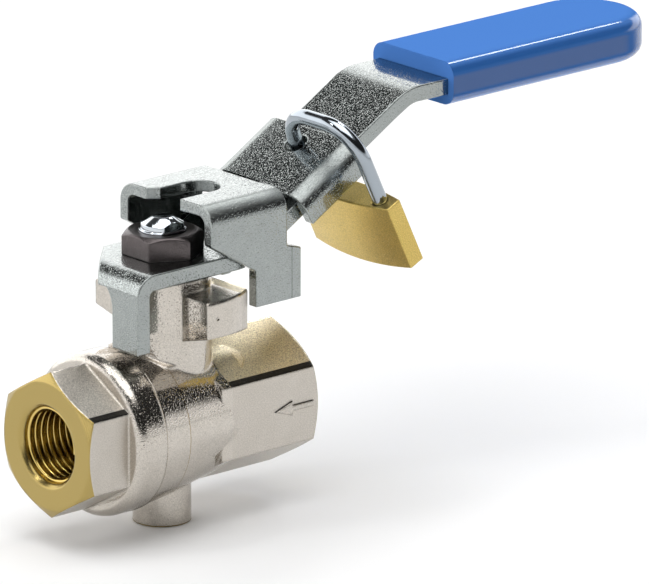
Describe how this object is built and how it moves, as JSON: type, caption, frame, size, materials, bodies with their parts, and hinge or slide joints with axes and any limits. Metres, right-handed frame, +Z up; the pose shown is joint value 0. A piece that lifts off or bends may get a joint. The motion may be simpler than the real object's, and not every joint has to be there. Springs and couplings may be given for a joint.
{
  "type": "lockable vented ball valve",
  "caption": "Lockable, vented ball valve with a bent lever, a sliding latch over the stem, a padlock through the lever and two threaded pipe ports.",
  "frame": {"origin": "centre of the front pipe port, in the plane of the brass hexagon's face", "axes": "+X along the pipe from the front port to the rear port, and along the lever at rest; +Z up along the stem; -Y is the side the lever swings to"},
  "size_m": [0.1308, 0.0354, 0.0708],
  "materials": {
    "nickel_brass": "nickel plated, satin, fine cast grain",
    "raw_brass": "turned brass",
    "padlock_brass": "brushed brass",
    "zinc_steel": "zinc plated sheet",
    "dark_steel": "dark phosphated nut",
    "bright_steel": "polished",
    "blue_plastic": "dipped soft vinyl",
    "ptfe": "white seat plastic",
    "black_rubber": "soft rubber",
    "spring_steel": "spring wire"
  },
  "bodies": {
    "valve": {"valve_body": "nickel_brass", "tail_piece": "nickel_brass", "body_gasket": "ptfe", "seat_inlet": "ptfe", "seat_outlet": "ptfe", "thrust_washer": "ptfe", "upper_bush": "raw_brass"},
    "handle": {"lever": "zinc_steel", "grip_sleeve": "blue_plastic", "handle_nut": "dark_steel", "stem": "bright_steel", "stem_orings": "black_rubber", "ball": "bright_steel"},
    "latch": {"latch": "zinc_steel"},
    "shackle": {"shackle": "bright_steel"},
    "padlock": {"padlock_body": "padlock_brass", "tumbler_pins": "raw_brass", "pin_springs": "spring_steel", "bolt_spring": "spring_steel"},
    "key_plug": {"key_cylinder": "padlock_brass"},
    "bolt": {"lock_bolt": "raw_brass"}
  },
  "joints": [
    {"name": "lever_turn", "type": "hinge", "parent": "valve", "child": "handle", "pos_m": [0.0256, 0, 0], "axis": [0, 0, -1], "range_deg": [0, 90]},
    {"name": "latch_slide", "type": "slide", "parent": "handle", "child": "latch", "axis": [0.866, 0, 0.5], "range_m": [0, 0.0036]},
    {"name": "padlock_swing", "type": "hinge", "parent": "latch", "child": "shackle", "pos_m": [0.05636, 0, 0.03983], "axis": [0, 1, 0], "range_deg": [-13, 4]},
    {"name": "shackle_slide", "type": "slide", "parent": "shackle", "child": "padlock", "axis": [0.4305, 0, -0.9026], "range_m": [0, 0.006]},
    {"name": "key_turn", "type": "hinge", "parent": "padlock", "child": "key_plug", "pos_m": [0.06351, -0.0087, 0.02485], "axis": [-0.4305, 0, 0.9026], "range_deg": [0, 90]},
    {"name": "bolt_slide", "type": "slide", "parent": "padlock", "child": "bolt", "axis": [0, -1, 0], "range_m": [0, 0.0024]}
  ],
  "couplings": [
    {"joint": "latch_slide", "follows": "lever_turn", "m_per_rad": 0.0022918},
    {"joint": "key_turn", "follows": "shackle_slide", "rad_per_m": 261.79},
    {"joint": "bolt_slide", "follows": "shackle_slide", "ratio": 0.4}
  ]
}
